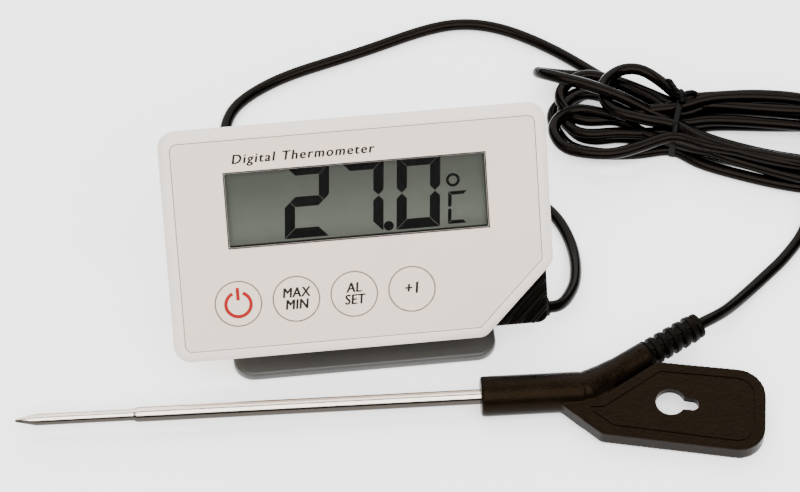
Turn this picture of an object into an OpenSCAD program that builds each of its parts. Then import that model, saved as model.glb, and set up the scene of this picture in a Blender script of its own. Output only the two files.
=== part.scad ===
// Digital laboratory and darkroom thermometer: a case that leans back on a fold-out stand,
// four keys under a display, and a stainless steel probe with a hanging paddle on a long cable.
// Millimetres, +Z up, the table is z = 0. The case is drawn in its own frame, face towards +Z.

/* [Case] */
// Width of the case
case_w = 109; // [107:1:111]
// Height of the case along its face
case_h = 67; // [66:0.5:68]
// Depth from the face to the back
case_d = 19.5; // [19.5:0.5:20.5]
// Radius of the case's corners, seen from the front
corner_r = 5; // [4:0.5:6]
// Leg of the cut corner at the lower right
corner_cut = 20.5; // [20:0.5:21]
// Wall thickness
wall = 2; // [1.8:0.1:2.2]
// Angle of the face above the table
case_lean = 54; // [50:1:56]

/* [Face] */
// Width of the rim around the keypad film
rim_w = 3.2; // [2.8:0.1:3.6]
// Width of the display window
window_w = 74.2; // [72:0.2:75]
// Height of the display window
window_h = 22.4; // [21:0.2:23]
// Diameter of a key
key_d = 13.4; // [12:0.2:14]
// Distance between neighbouring keys
key_pitch = 16.4; // [16:0.1:17]
// Travel of a key
key_travel = 0.4; // [0.2:0.1:0.4]

/* [Stand] */
// Width of the stand plate
stand_w = 75.5; // [70:0.5:80]
// Length of the stand plate
stand_l = 50; // [48:1:54]
// Thickness of the stand plate
stand_t = 2.9; // [2.6:0.1:3]

/* [Probe] */
// Length of the steel tube outside the handle
tube_l = 131.5; // [110:0.5:135]
// Diameter of the steel tube
tube_d = 4.4; // [4.2:0.1:4.6]
// Diameter of the thin end of the tube
thin_d = 3.4; // [3.2:0.1:3.6]
// Length of the thin end
thin_l = 33; // [25:1:40]
// Diameter of the handle
handle_d = 11.5; // [11:0.1:12]
// Length of the handle up to its bend
handle_l = 29.5; // [29:0.5:31]
// Angle of the neck from the tube
neck_angle = 30; // [28:1:32]
// Thickness of the paddle
paddle_t = 5.4; // [4.8:0.1:5.6]
// Roll of the handle, which rests on the paddle's front edge
handle_roll = 6.6; // [6.2:0.1:7]

/* [Cable] */
// Diameter of the cable
cable_d = 3.6; // [3.4:0.1:3.6]
// Length of the tied hank
hank_l = 98; // [90:1:100]
// Height of the tied hank
hank_h = 10.8; // [10:0.1:11.4]

/* [Hidden] */
$fn = 48;
eps = 0.01;
slice = 0.05;
skin = 0.02;

// Side walls: upright behind the bevel, then drawn in towards the back
bevel_w = 2.2;
bevel_d = 1.8;
taper_from = 3;
taper_rate = 0.2424;
back_r = 2.5;
front_d = 9;
front_wall = 2.3;
arc_steps = 6;
cut_r = 4;

// Front layers, measured down from the face
film_z = 0.5;
film_t = 0.3;
film_r = 2.2;
window_at = [0, 9.9];
lens_t = 1;
lens_margin = 1.4;
key_first_x = -35.4;
key_y = -17.1;
key_gap = 0.1;
key_t = 1;
key_well = 1.7;
plunger_r = 2;
switch_size = 6;
lcd_size = [76, 27.4];
lcd_top = 2.5;
lcd_t = 2;
board_z = 7;
board_t = 1;
board_x = [-40, 40];
board_y = [-21, 27];

// Battery bay, in the upper half of the back
bay_y = 13;
bay_half = 25.5;
bay_z = 12.5;
cell_r = 5.25;
cell_l = 43.5;
door_size = [67, 18];
door_t = 1.5;
door_gap = 0.2;
door_screw_x = 31;
opening_size = [52, 12.4];
gasket_outer = [59.4, 16.4];
gasket_inner = [57, 14];
gasket_t = 0.7;

// Case screws: x, y of each boss
screw_spots = [[-44, 23.5], [44, 23.5], [-44, -22], [28, -22]];
boss_r = 3;
screw_r = 0.9;

// Stand hinge, under the lower back corner of the case
pad_h = 0.5;
knuckle_r = 1.7;
knuckle_gap = 0.23;
pin_r = 0.8;
pin_play = 0.05;
knuckle_x = [22, 30];
lug_x = [19.2, 32.8];
lug_side_gap = 0.2;
stand_front = 15.5;
stop_x = 12;
stop_w = 4;
stop_l = 5;
stop_h = 2.6;
stop_slope = 0.41;
pin_h = pad_h + stand_t + knuckle_gap + knuckle_r;
corner_y = -(case_h / 2 - taper_inset(case_d - back_r) - back_r);
corner_z = -(case_d - back_r);
hinge_y = corner_y - back_r * sin(case_lean);
hinge_z = corner_z - back_r * cos(case_lean);

// Places in the whole object's frame
case_x = -5.6;
case_y = 14.5;
case_z = pin_h - hinge_y * sin(case_lean) - hinge_z * cos(case_lean);
axis_y = case_y + hinge_y * cos(case_lean) - hinge_z * sin(case_lean);
probe_at = [25, -20.1, handle_d / 2];
probe_yaw = -2.6;

// Corner gland, the black block that fills the cut corner
gland_right = case_w / 2 - 1.5;
gland_bottom = -case_h / 2 + 1.2;
gland_front = 6.5;
gland_back = 17;
gland_r = 3;
rib_pitch = 2.9;
rib_h = 0.9;
mouth = [gland_right, -28.6, -10];

// Probe details
neck_d = 8.4;
neck_l = 22;
relief_l = 18.5;
relief_d = 8;
rib_count = 5;
tube_in = 20;
tube_wall = 0.3;
point_l = 6;
hole_r = 4.2;
slot_r = 1.9;
hole_at = [53.2, -6.4];
slot_at = [59.2, -7.6];

// Cable route from the gland to the hank, and from the hank to the probe
gland_route = [
    [46.8, 5.7, 11.1], [48.6, 5.7, 10.7], [50.4, 6.3, 9.9], [52.6, 8.6, 8.6], [55, 12.6, 7.3],
    [56.9, 16.6, 6.1], [58.1, 21.5, 4.8], [58.8, 26.7, 3.5], [59, 32.1, 2.4], [58.4, 37.6, 1.9],
    [56.8, 43.6, 1.8], [54, 49.1, 1.8], [49.5, 53.9, 1.8], [43.5, 57.6, 1.8], [36.5, 60.1, 1.8],
    [29, 61.6, 1.8], [21, 62.4, 1.8], [13, 62.9, 1.8], [5, 63.1, 1.8], [-3, 63.3, 1.8],
    [-11, 63.9, 1.8], [-19, 65.3, 1.8], [-26.5, 68.3, 1.8], [-33, 73.1, 1.8], [-37.2, 79.6, 1.8],
    [-39, 86.6, 1.8], [-38.4, 92.9, 1.8], [-35.6, 98.9, 1.8], [-30.2, 104, 1.8], [-22.2, 108.7, 1.8],
    [-14.2, 111.9, 1.8], [-6.4, 114.3, 1.8], [1.6, 116.7, 1.8], [9.6, 119.3, 1.8], [17.6, 122.1, 1.8],
    [25.7, 124.6, 1.8], [33.6, 126, 1.8], [41.3, 125.4, 1.8], [48.8, 122.8, 1.8], [56, 118.5, 1.8],
    [63, 113.1, 1.8], [69, 107.6, 1.8], [75, 101.6, 1.8], [79, 97.1, 1.8]
];
probe_route = [
    [141, 55.6, 8.2], [137.5, 49.1, 7.6], [133.5, 42.1, 5], [129.8, 35.6, 2.6], [125.6, 29.2, 1.8],
    [120.1, 23.2, 1.8], [114.2, 17.8, 1.8], [108, 12.2, 2.1], [101.2, 5.4, 4.1], [97.8, 2.1, 5.7],
    [94.6, -0.8, 7.55], [91.1, -2.6, 8.05]
];
hank_at = [58.5, 87.6];
hank_angle = -18;
hank_tie_x = 40;
lobe_half = 16;
waist_half = 8.8;
waist_flat = 1.5;
hank_round = 0.4;
tie_w = 2;
tie_t = 0.9;

// ---------- outlines ----------

function unit(v) = v / norm(v);

// Points of one rounded corner, for an outline that turns anticlockwise
function corner_arc(before, at, after, r, steps) =
    let (back = unit(before - at),
         ahead = unit(after - at),
         half = acos(back * ahead) / 2,
         centre = at + unit(back + ahead) * r / sin(half),
         first = at + back * r / tan(half) - centre,
         last = at + ahead * r / tan(half) - centre,
         start = atan2(first.y, first.x),
         turn = atan2(first.x * last.y - first.y * last.x, first * last))
    [for (i = [0:steps]) centre + r * [cos(start + turn * i / steps), sin(start + turn * i / steps)]];

function rounded(points, radii, steps) =
    let (n = len(points))
    [for (i = [0:n - 1])
        each corner_arc(points[(i + n - 1) % n], points[i], points[(i + 1) % n], radii[i], steps)];

function rectangle(size, at) =
    [[at.x - size.x / 2, at.y - size.y / 2], [at.x + size.x / 2, at.y - size.y / 2],
     [at.x + size.x / 2, at.y + size.y / 2], [at.x - size.x / 2, at.y + size.y / 2]];

// How far the side walls have drawn in at depth z
function taper_inset(z) = max(0, z - taper_from) * taper_rate;

// The case's five corners, drawn in by side on its four sides and by cut at the cut corner
function case_corners(side, cut) =
    let (x = case_w / 2 - side, y = case_h / 2 - side, reach = corner_cut + cut * sqrt(2) - side)
    [[-x, y], [-x, -y], [case_w / 2 - reach, -y], [x, reach - case_h / 2], [x, y]];

function case_outline(side, cut, r = corner_r) =
    let (a = max(1, r - side), b = max(1, min(cut_r, r) - side))
    rounded(case_corners(side, cut), [a, a, b, b, a], arc_steps);

module case_slice(z, side, cut) {
    translate([0, 0, -z - slice])
        linear_extrude(slice)
            polygon(case_outline(side, cut));
}

module in_case() {
    translate([case_x, case_y, case_z])
        rotate([case_lean, 0, 0])
            children();
}

module in_probe() {
    translate(probe_at)
        rotate([0, 0, probe_yaw])
            rotate([handle_roll, 0, 0])
                children();
}

// A plate in the case frame between two depths
module plate(points, top, bottom) {
    translate([0, 0, -bottom])
        linear_extrude(bottom - top)
            polygon(points);
}

module post(at, r, top, bottom) {
    translate([at.x, at.y, -bottom])
        cylinder(r = r, h = bottom - top);
}

function key_at(i) = [key_first_x + i * key_pitch, key_y];

// ---------- front half of the case ----------

module front_outer() {
    hull() {
        for (a = [0:22.5:90])
            case_slice(bevel_d * (1 - cos(a)), bevel_w * (1 - sin(a)), bevel_w * (1 - sin(a)));
        case_slice(taper_from, 0, 0);
        case_slice(front_d - slice, taper_inset(front_d), 0);
    }
}

module front_cavity() {
    hull() {
        case_slice(front_wall, wall, wall);
        case_slice(taper_from, wall, wall);
        case_slice(front_d + 1, wall + taper_inset(front_d + 1), wall);
    }
}

module front_shell() {
    lens = [window_w + 2 * lens_margin + 0.2, window_h + 2 * lens_margin + 0.2];
    color("ivory") in_case() difference() {
        union() {
            difference() {
                front_outer();
                front_cavity();
            }
            for (spot = screw_spots)
                post(spot, boss_r, front_wall - eps, front_d);
        }
        plate(case_outline(rim_w, rim_w, film_r + rim_w), -1, film_z);
        plate(rectangle(lens, window_at), 0, film_z + lens_t);
        plate(rectangle([window_w - 1, window_h - 1], window_at), 0, front_wall + 1);
        for (i = [0:3]) {
            post(key_at(i), key_d / 2 + key_gap, 0, key_well);
            post(key_at(i), plunger_r + 0.3, 0, front_wall + 1);
        }
        for (spot = screw_spots)
            post(spot, screw_r, front_wall + 1, front_d + 1);
    }
}

module keypad_film() {
    color("oldlace") in_case() difference() {
        plate(case_outline(rim_w + 0.1, rim_w + 0.1, film_r + rim_w), film_z - film_t, film_z);
        plate(rectangle([window_w, window_h], window_at), -1, film_z + 1);
        for (i = [0:3])
            post(key_at(i), key_d / 2 + key_gap, -1, film_z + 1);
    }
}

module display_window() {
    size = [window_w + 2 * lens_margin, window_h + 2 * lens_margin];
    color("lightgray", 0.4) in_case()
        plate(rounded(rectangle(size, window_at), [1, 1, 1, 1], arc_steps), film_z, film_z + lens_t);
}

// ---------- display and electronics ----------

module lcd_glass() {
    color("darkseagreen") in_case() {
        plate(rectangle(lcd_size, window_at), lcd_top, lcd_top + lcd_t / 2);
        plate(rectangle(lcd_size - [0, 3], window_at), lcd_top + lcd_t / 2, lcd_top + lcd_t);
    }
}

module lcd_reflector() {
    color("white") in_case()
        plate(rectangle([70, 18], window_at), lcd_top + lcd_t, lcd_top + lcd_t + 0.3);
}

module lcd_bezel() {
    outer = lcd_size + [3.4, 3.6];
    inner = lcd_size + [0.2, 0.2];
    color("whitesmoke") in_case() difference() {
        plate(rounded(rectangle(outer, window_at), [1, 1, 1, 1], arc_steps),
              front_wall + 0.1, board_z - board_t);
        plate(rectangle(inner, window_at), 0, board_z + 1);
    }
}

module zebra_strips() {
    color("dimgray") in_case()
        for (side = [-1, 1])
            plate(rectangle([70, 1.6], window_at + [0, side * 11]), lcd_top + lcd_t, board_z - board_t);
}

module circuit_board() {
    corners = [[board_x[0], board_y[0]], [board_x[1] - 4.5, board_y[0]],
               [board_x[1], board_y[0] + 4.5], [board_x[1], board_y[1]], [board_x[0], board_y[1]]];
    color("darkgreen") in_case() difference() {
        plate(corners, board_z - board_t, board_z);
        post(screw_spots[3], boss_r + 0.4, 0, front_d);
    }
}

module tact_switches() {
    color("silver") in_case()
        for (i = [0:3]) {
            plate(rectangle([switch_size, switch_size], key_at(i)), 3.4, board_z - board_t);
            post(key_at(i), 1.75, 2.7, 3.4);
        }
}

module controller_chip() {
    color("black") in_case()
        translate([-20, -9, -board_z])
            rotate([180, 0, 0])
                rotate_extrude()
                    polygon([[0, 0], [4.4, 0], [4.2, 0.5], [3.4, 1.1], [2, 1.5], [0, 1.6]]);
}

module quartz_crystal() {
    color("silver") in_case()
        translate([-12, -14, -board_z - 1.05])
            rotate([0, 90, 0])
                cylinder(r = 1, h = 6);
}

module capacitors() {
    color("saddlebrown") in_case()
        for (spot = [[-30, -6], [-30, -14], [2, -16]])
            post(spot, 1.8, board_z, board_z + 4);
}

module chip_resistors() {
    color("dimgray") in_case()
        for (i = [0:5])
            plate(rectangle([1.2, 2], [-14 + 3 * i, -5]), board_z, board_z + 0.6);
}

module buzzer() {
    color("goldenrod") in_case() difference() {
        post([12, -12], 6, board_z, board_z + 2.8);
        post([12, -12], 0.8, board_z + 1.8, board_z + 4);
    }
}

module wire_terminal() {
    color("white") in_case() difference() {
        plate(rectangle([5, 6], [27, -9]), board_z, board_z + 3.6);
        for (side = [-1, 1])
            post([27, -9 + 1.4 * side], 0.6, board_z + 2.6, board_z + 4);
    }
}

// Two cores of the cable, from the gland's tongue to the terminal
module lead_wires() {
    start = [40.7, -19.7, -12.8];
    finish = [29.6, -9, -9];
    run = finish - start;
    level = norm([run.x, run.y]);
    color("firebrick") in_case()
        for (side = [-1, 1])
            translate(start + [0.7 * side, 0.7 * side, 0])
                rotate([0, 0, atan2(run.y, run.x)])
                    rotate([0, 90 - atan2(run.z, level), 0])
                        cylinder(r = 0.45, h = norm(run), $fn = 24);
}

// ---------- back half of the case ----------

module rear_outer() {
    hull() {
        case_slice(front_d, taper_inset(front_d), 0);
        for (a = [0:22.5:90])
            case_slice(case_d - back_r + (back_r - slice) * sin(a),
                       taper_inset(case_d - back_r) + back_r * (1 - cos(a)),
                       back_r * (1 - cos(a)));
    }
}

module rear_cavity() {
    back_inner = case_d - wall;
    hull() {
        case_slice(front_d - 1, wall + taper_inset(front_d - 1), wall);
        case_slice(back_inner - 2.5, wall + taper_inset(back_inner - 2.5), wall);
        case_slice(back_inner - slice, wall + 3 + taper_inset(back_inner), wall + 2.5);
    }
}

module gasket_ring(z_top, z_bottom, grow) {
    side = taper_inset(front_d);
    difference() {
        plate(case_outline(side + 0.5 - grow, 0.5 - grow), z_top, z_bottom);
        plate(case_outline(side + 1.5 + grow, 1.5 + grow), z_top - 1, z_bottom + 1);
    }
}

module door_seat() {
    plate(rounded(rectangle(door_size + [2, 2] * door_gap, [0, bay_y]), [2, 2, 2, 2], arc_steps),
          case_d - door_t, case_d + 1);
    plate(rounded(rectangle(opening_size, [0, bay_y]), [1, 1, 1, 1], arc_steps), front_d, case_d + 1);
    difference() {
        plate(rectangle(gasket_outer + [0.3, 0.3], [0, bay_y]),
              case_d - door_t - gasket_t - 0.1, case_d);
        plate(rectangle(gasket_inner - [0.3, 0.3], [0, bay_y]), front_d, case_d + 1);
    }
}

module hinge_cylinder(r, x_from, x_to) {
    translate([x_from, hinge_y, hinge_z])
        rotate([0, 90, 0])
            cylinder(r = r, h = x_to - x_from);
}

// Slot in the cut corner's wall for the gland's tongue
module tongue(width, inner, top, bottom) {
    middle = [case_w / 2 - corner_cut / 2, -case_h / 2 + corner_cut / 2];
    translate([middle.x, middle.y, -bottom])
        rotate([0, 0, 135])
            translate([-eps, -width / 2, 0])
                cube([inner + eps, width, bottom - top]);
}

module rear_shell() {
    seat_frame = [70, 22];
    color("ivory") in_case() difference() {
        union() {
            difference() {
                rear_outer();
                rear_cavity();
            }
            plate(rectangle(seat_frame, [0, bay_y]), 15.9, case_d - wall + eps);
            for (spot = screw_spots)
                post(spot, boss_r, front_d, case_d - wall + eps);
            for (side = [-1, 1]) {
                post([side * door_screw_x, bay_y], 2.4, 12.4, 16);
                hinge_cylinder(knuckle_r, min(side * lug_x[0], side * lug_x[1]),
                               max(side * lug_x[0], side * lug_x[1]));
            }
        }
        door_seat();
        gasket_ring(0, front_d + 0.8, 0);
        for (spot = screw_spots) {
            post(spot, 1.2, 0, case_d + 1);
            post(spot, 2.3, case_d - 2.5, case_d + 1);
        }
        for (side = [-1, 1]) {
            post([side * door_screw_x, bay_y], 1.05, 12.9, case_d + 1);
            hinge_cylinder(knuckle_r + 0.3, min(side * knuckle_x[0], side * knuckle_x[1]) - lug_side_gap,
                           max(side * knuckle_x[0], side * knuckle_x[1]) + lug_side_gap);
        }
        hinge_cylinder(pin_r, -lug_x[1] - 1, lug_x[1] + 1);
        tongue(8.2, wall + 1, 10.7, 14.9);
    }
}

module case_gasket() {
    color("darkslategray") in_case()
        gasket_ring(front_d, front_d + 0.8, 0);
}

module case_screws() {
    color("silver") in_case()
        for (spot = screw_spots)
            difference() {
                union() {
                    post(spot, 2.1, case_d - 2.5, case_d - 1);
                    post(spot, screw_r - skin, 4, case_d - 2.5);
                }
                post(spot, 0.9, case_d - 1.8, case_d, $fn = 6);
            }
}

module battery() {
    color("slategray") in_case()
        translate([bay_half - 1.5 - cell_l, bay_y, -bay_z])
            rotate([0, 90, 0]) {
                cylinder(r = cell_r, h = cell_l);
                cylinder(r = 1.9, h = cell_l + 1);
            }
}

module battery_cradle() {
    end_t = 1.2;
    color("black") in_case() {
        for (side = [-1, 1])
            plate(rectangle([end_t, 13.4], [side * (bay_half + end_t / 2), bay_y]), board_z, 15.7);
        for (side = [-1, 1])
            plate(rectangle([2 * bay_half, 1], [0, bay_y + side * 6.2]), board_z, 12);
    }
}

module plus_contact() {
    color("gold") in_case()
        plate(rectangle([0.4, 8], [bay_half - 0.2, bay_y]), board_z, 15.5);
}

// Contact plate and conical spring at the battery's flat end
module minus_spring() {
    start = -bay_half + 0.4;
    rise = 5.5 - 0.1;
    turns = 3.5;
    rings = 42;
    helix = [for (i = [0:rings])
        let (t = i / rings, r = 3.6 - 1.4 * t)
        [start + 0.3 + (rise - 0.6) * t, bay_y + r * cos(360 * turns * t), -bay_z + r * sin(360 * turns * t)]];
    color("silver") in_case() {
        plate(rectangle([0.4, 8], [start - 0.2, bay_y]), board_z, 15.5);
        swept_tube(helix, 0.3, 6, [1, 0, 0]);
    }
}

// ---------- corner gland ----------

function gland_corners() =
    let (reach = case_w / 2 + case_h / 2 - corner_cut)
    [[reach + gland_bottom, gland_bottom], [gland_right, gland_bottom],
     [gland_right, gland_right - reach]];

module corner_gland() {
    middle = [case_w / 2 - corner_cut / 2, -case_h / 2 + corner_cut / 2];
    outline = rounded(gland_corners(), [0.6, gland_r, 0.6], arc_steps);
    color("black") in_case() {
        plate(outline, gland_front, gland_back);
        intersection() {
            plate(outline, gland_front - rib_h, gland_front + 1);
            for (i = [1:3])
                translate([middle.x, middle.y, -gland_front])
                    rotate([0, 0, -45])
                        translate([i * rib_pitch - 0.3, 0, 0])
                            rotate([90, 0, 0])
                                cylinder(r = rib_h, h = 2 * corner_cut, center = true, $fn = 24);
        }
        tongue(8, wall + 0.6, 10.8, 14.8);
        difference() {
            tongue(9.6, wall + 1.8, 10, 15);
            tongue(12, wall + 0.6, 9, 16);
        }
    }
}

module hinge_pins() {
    color("silver") in_case()
        for (side = [-1, 1])
            hinge_cylinder(pin_r - skin / 2, min(side * lug_x[0], side * lug_x[1]),
                           max(side * lug_x[0], side * lug_x[1]));
}

// ---------- keys ----------

module key(i) {
    color("oldlace") in_case() {
        post(key_at(i), key_d / 2, film_z - film_t, film_z - film_t + key_t);
        post(key_at(i), plunger_r, film_z - film_t + key_t - eps, 2.25);
    }
}

module power_key() { key(0); }
module max_min_key() { key(1); }
module set_key() { key(2); }
module step_key() { key(3); }

// ---------- battery door ----------

module battery_door() {
    color("ivory") in_case() difference() {
        plate(rounded(rectangle(door_size, [0, bay_y]), [1.8, 1.8, 1.8, 1.8], arc_steps),
              case_d - door_t + 0.05, case_d);
        for (side = [-1, 1]) {
            post([side * door_screw_x, bay_y], 1.1, 0, case_d + 1);
            post([side * door_screw_x, bay_y], 2.1, case_d - 0.9, case_d + 1);
        }
        for (i = [-3:3])
            plate(rectangle([0.8, 10], [2 * i, bay_y]), case_d - 0.4, case_d + 1);
    }
}

module door_gasket() {
    color("darkslategray") in_case() difference() {
        plate(rectangle(gasket_outer, [0, bay_y]),
              case_d - door_t - gasket_t + 0.05, case_d - door_t + 0.05);
        plate(rectangle(gasket_inner, [0, bay_y]), front_d, case_d);
    }
}

module door_screws() {
    color("silver") in_case()
        for (side = [-1, 1])
            difference() {
                union() {
                    post([side * door_screw_x, bay_y], 1.9, case_d - 0.88, case_d - 0.1);
                    post([side * door_screw_x, bay_y], 1, 13.4, case_d - 0.88);
                }
                plate(rectangle([3, 0.5], [side * door_screw_x, bay_y]), case_d - 0.5, case_d + 1);
            }
}

// ---------- stand ----------

function stand_outline() =
    rounded(rectangle([stand_w, stand_l], [case_x, axis_y - stand_front + stand_l / 2]),
            [6, 6, 6, 6], arc_steps);

stand_mid_y = axis_y - stand_front + stand_l / 2;

module stand_spots(r, z, h, dx, dy) {
    for (sx = [-1, 1])
        for (sy = [-1, 1])
            translate([case_x + sx * dx, stand_mid_y + sy * dy, z])
                cylinder(r = r, h = h);
}

module magnet_spots(r, z, h) {
    for (sx = [-1, 1])
        translate([case_x + sx * 20, stand_mid_y + 4, z])
            cylinder(r = r, h = h);
}

module stand_plate() {
    plate_top = pad_h + stand_t;
    color("gray") difference() {
        union() {
            translate([0, 0, pad_h])
                linear_extrude(stand_t)
                    polygon(stand_outline());
            for (side = [-1, 1]) {
                translate([case_x + (side > 0 ? knuckle_x[0] : -knuckle_x[1]), axis_y, pin_h])
                    rotate([0, 90, 0])
                        cylinder(r = knuckle_r, h = knuckle_x[1] - knuckle_x[0]);
                translate([case_x + (side > 0 ? knuckle_x[0] : -knuckle_x[1]), axis_y - 1.5, plate_top - eps])
                    cube([knuckle_x[1] - knuckle_x[0], 3, pin_h - plate_top]);
                // Stop under the case's lower wall, sloped to meet it
                translate([case_x + side * stop_x - stop_w / 2, axis_y - 2.8, plate_top - eps])
                    rotate([90, 0, 90])
                        linear_extrude(stop_w)
                            polygon([[0, 0], [0, stop_h], [-stop_l, stop_h + stop_slope * stop_l], [-stop_l, 0]]);
            }
        }
        translate([case_x - stand_w / 2, axis_y, pin_h])
            rotate([0, 90, 0])
                cylinder(r = pin_r + pin_play, h = stand_w);
        stand_spots(3, pad_h - 1, 1.4, stand_w / 2 - 8, stand_l / 2 - 8);
        magnet_spots(6.1, pad_h - 1, 2.5);
    }
}

module stand_magnets() {
    color("lightslategray")
        magnet_spots(6, pad_h, 1.45);
}

module stand_pads() {
    color("black")
        stand_spots(2.95, 0, pad_h + 0.38, stand_w / 2 - 8, stand_l / 2 - 8);
}

// ---------- probe ----------

// Paddle outline, from the handle's face: x along the tube, y to the back
paddle_points = [
    [21, 3], [18, -1], [33, -15.4], [78, -24.3], [81.4, 1.8], [50.8, 7], [34, -3.2], [28, -1]
];
paddle_radii = [0.5, 2, 3, 7.5, 8.5, 2, 3, 2];

// Hollow under the paddle, inside its edge
pocket_points = [[37, -6.8], [39, -12.6], [75, -20.2], [78, -1], [51.5, 3.6], [41, -2.5]];
web_t = 2.2;

// Along the handle's neck, from a distance past the bend
module along_neck(distance) {
    translate([handle_l, 0, 0])
        rotate([0, 90, neck_angle])
            translate([0, 0, distance])
                children();
}

module probe_handle() {
    end_r = 0.8;
    color("black") in_probe() difference() {
        union() {
            rotate([0, 90, 0])
                rotate_extrude()
                    polygon([[0, 0], [handle_d / 2 - end_r, 0], [handle_d / 2, end_r],
                             [handle_d / 2, handle_l - 2], [0, handle_l - 2]]);
            translate([handle_l - 2, 0, 0])
                sphere(r = handle_d / 2);
            along_neck(0)
                cylinder(r = neck_d / 2, h = neck_l);
            translate([0, 0, -paddle_t / 2])
                linear_extrude(paddle_t)
                    polygon(rounded(paddle_points, paddle_radii, arc_steps));
        }
        translate([-1, 0, 0])
            rotate([0, 90, 0])
                cylinder(r = tube_d / 2, h = tube_in + 1);
        translate([tube_in - 1, 0, 0])
            rotate([0, 90, 0])
                cylinder(r = 1.7, h = handle_l - tube_in + 1);
        along_neck(0)
            cylinder(r = cable_d / 2 + skin, h = neck_l + 1);
        keyhole();
        // Hollow underside of the paddle
        translate([0, 0, paddle_t / 2 - web_t - paddle_t])
            linear_extrude(paddle_t)
                polygon(rounded(pocket_points, [2, 2, 5, 5.5, 2, 2], arc_steps));
        // Groove around the paddle's face
        translate([0, 0, paddle_t / 2 - 0.3])
            linear_extrude(1)
                difference() {
                    polygon(rounded(groove_points(0), [1, 4, 5, 5, 1.5, 2], arc_steps));
                    polygon(rounded(groove_points(0.5), [1, 4, 5, 5, 1.5, 2], arc_steps));
                }
    }
}

function groove_points(inset) = [
    [29 + inset, -6.2 - inset], [36.2 + inset / 2, -13.1 + inset], [75.2 - inset, -21 + inset],
    [77.6 - inset, -0.6 - inset], [51.4, 3.9 - inset], [34.6, -6.6 - inset]
];

module keyhole() {
    translate([hole_at.x, hole_at.y, -handle_d])
        cylinder(r = hole_r, h = 2 * handle_d);
    translate([slot_at.x, slot_at.y, -handle_d])
        cylinder(r = slot_r, h = 2 * handle_d);
}

module strain_relief() {
    pitch = (relief_l - 3) / rib_count;
    profile = concat(
        [[cable_d / 2 + skin, 0], [neck_d / 2, 0]],
        [for (i = [0:rib_count - 1])
            each [[relief_d / 2 - 1.1, i * pitch + 0.3], [relief_d / 2 - 1.1, i * pitch + 1.1],
                  [relief_d / 2, i * pitch + 1.5], [relief_d / 2, i * pitch + pitch]]],
        [[relief_d / 2, relief_l - 1.6], [relief_d / 2 - 1.5, relief_l],
         [cable_d / 2 + skin, relief_l]]);
    color("black") in_probe() along_neck(neck_l)
        rotate_extrude()
            polygon(profile);
}

// The cable's own end, from the crimp to the mouth of the strain relief
module handle_cable() {
    color("black") in_probe() along_neck(0)
        cylinder(r = cable_d / 2, h = neck_l + relief_l);
}

module probe_tube() {
    thin_inner = thin_d / 2 - tube_wall;
    inner = tube_d / 2 - tube_wall;
    color("silver") in_probe()
        translate([-tube_l, 0, 0])
            rotate([0, 90, 0])
                rotate_extrude()
                    polygon([[0, 0], [thin_d / 2, point_l], [thin_d / 2, thin_l], [tube_d / 2, thin_l + 1],
                             [tube_d / 2, tube_l + tube_in - 1], [inner, tube_l + tube_in - 1],
                             [inner, thin_l + 1], [thin_inner, thin_l], [thin_inner, point_l], [0, 2]]);
}

module sensor_bead() {
    color("darkred") in_probe()
        translate([-tube_l + point_l + 2, 0, 0])
            sphere(r = 0.8, $fn = 32);
}

module sensor_wires() {
    from_tip = point_l + 2.9;
    color("orange") in_probe()
        for (side = [-1, 1])
            translate([-tube_l + from_tip, 0.45 * side, 0])
                rotate([0, 90, 0])
                    cylinder(r = 0.25, h = tube_l + tube_in - from_tip, $fn = 16);
}

module tip_filling() {
    color("khaki") in_probe() difference() {
        translate([-tube_l + point_l, 0, 0])
            rotate([0, 90, 0])
                cylinder(r = thin_d / 2 - tube_wall, h = 10);
        sensor_clear();
    }
}

// Room in the filling for the bead and its wires
module sensor_clear() {
    translate([-tube_l + point_l + 2, 0, 0])
        sphere(r = 0.8, $fn = 32);
    for (side = [-1, 1])
        translate([-tube_l + point_l + 2.9, 0.45 * side, 0])
            rotate([0, 90, 0])
                cylinder(r = 0.25, h = 20, $fn = 16);
}

module crimp_sleeve() {
    color("goldenrod") in_probe()
        translate([tube_in + 0.2, 0, 0])
            rotate([0, 90, 0])
                cylinder(r = 1.4, h = 6);
}

// ---------- cable ----------

function heading(path, i) =
    unit(path[min(i + 1, len(path) - 1)] - path[max(i - 1, 0)]);

function ring(path, i, r, sides, up) =
    let (ahead = heading(path, i),
         side = unit(cross(ahead, up)),
         top = cross(side, ahead))
    [for (k = [0:sides - 1]) path[i] + r * (cos(360 * k / sides) * side + sin(360 * k / sides) * top)];

// A tube swept along a path: one ring of points at each point of the path
module swept_tube(path, r, sides, up) {
    n = len(path);
    points = [for (i = [0:n - 1]) each ring(path, i, r, sides, up)];
    walls = [for (i = [0:n - 2])
        for (k = [0:sides - 1])
            let (next = (k + 1) % sides)
            [i * sides + k, i * sides + next, (i + 1) * sides + next, (i + 1) * sides + k]];
    first_cap = [[for (k = [0:sides - 1]) sides - 1 - k]];
    last_cap = [[for (k = [0:sides - 1]) (n - 1) * sides + k]];
    polyhedron(points, concat(walls, first_cap, last_cap));
}

module cable_gland_run() {
    color("black")
        swept_tube(gland_route, cable_d / 2, 8, [0, 0, 1]);
}

module cable_probe_run() {
    color("black")
        swept_tube(probe_route, cable_d / 2, 8, [0, 0, 1]);
}

// Half-width of the hank at a distance s along it: two lobes, drawn in at the tie
function hank_half(s) =
    let (left = s < hank_tie_x,
         t = left ? s / (hank_tie_x - waist_flat) : (hank_l - s) / (hank_l - hank_tie_x - waist_flat))
    (waist_half + (lobe_half - waist_half) * sin(180 * min(1, t))) * end_round(t);

// Rounds off each end of the hank
function end_round(t) = t < hank_round ? sqrt(1 - pow(1 - t / hank_round, 2)) : 1;

module in_hank() {
    translate([hank_at.x, hank_at.y, 0])
        rotate([0, 0, hank_angle])
            children();
}

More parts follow.
